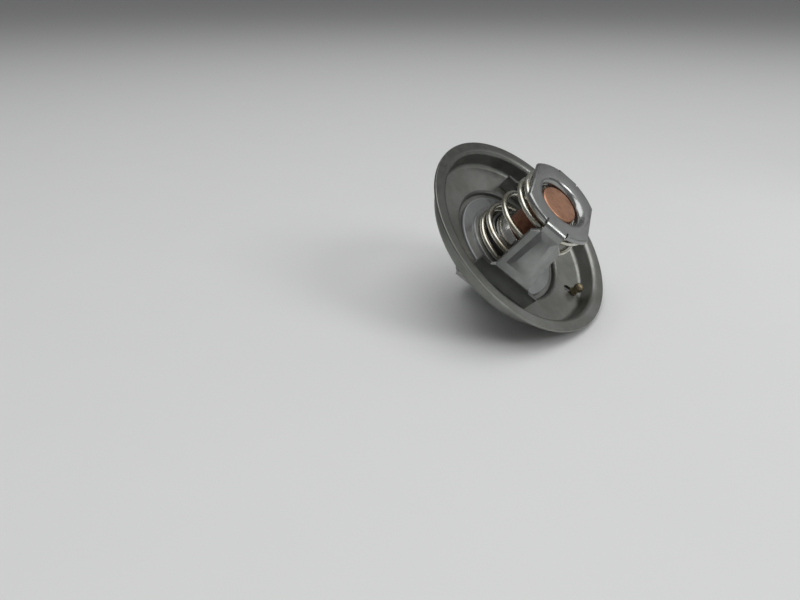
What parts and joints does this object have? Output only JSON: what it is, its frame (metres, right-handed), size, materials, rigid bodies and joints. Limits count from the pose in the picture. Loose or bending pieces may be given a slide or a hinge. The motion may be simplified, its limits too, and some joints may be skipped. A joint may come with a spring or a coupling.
{
  "type": "engine thermostat",
  "caption": "Wax-capsule engine thermostat: bowl-shaped stamped flange, spring cage with ribbed arms, sprung flat valve disc, outlet bridge and jiggle pin.",
  "frame": {"origin": "on the valve axis, in the plane of the flange's flat lip", "axes": "+Z along the valve axis, towards the wax capsule (the engine side); +X towards the jiggle pin; the cage's two arms stand at -Y and +Y"},
  "size_m": [0.067, 0.067, 0.042],
  "materials": {
    "stainless_sheet": "satin, pressed stainless sheet",
    "spring_wire": "drawn stainless wire",
    "piston_steel": "ground",
    "plated_body": "bright plated turned metal",
    "copper": "drawn copper, dull with handling",
    "jiggle_brass": "dull turned brass",
    "wax": "wax with copper powder",
    "rubber": "matt"
  },
  "bodies": {
    "frame": {"flange_plate": "stainless_sheet", "spring_cage": "stainless_sheet", "outlet_bridge": "stainless_sheet", "piston": "piston_steel", "main_spring": "spring_wire"},
    "valve": {"valve_disc": "stainless_sheet", "spring_seat": "stainless_sheet", "guide_body": "plated_body", "wax_cup": "copper", "wax_charge": "wax", "diaphragm": "rubber", "rubber_plug": "rubber", "backing_disc": "piston_steel", "guide_seal": "rubber", "seal_cap": "stainless_sheet", "retaining_ring": "piston_steel"},
    "jiggle": {"jiggle_pin": "jiggle_brass", "jiggle_keeper": "jiggle_brass"}
  },
  "joints": [
    {"name": "valve_slide", "type": "slide", "parent": "frame", "child": "valve", "axis": [0, 0, 1], "range_m": [0, 0.008], "stiffness_N_per_m": 5500, "springref_m": -0.001, "deforming": ["main_spring"]},
    {"name": "jiggle_slide", "type": "slide", "parent": "frame", "child": "jiggle", "axis": [0, 0, 1], "range_m": [0, 0.00135]}
  ]
}
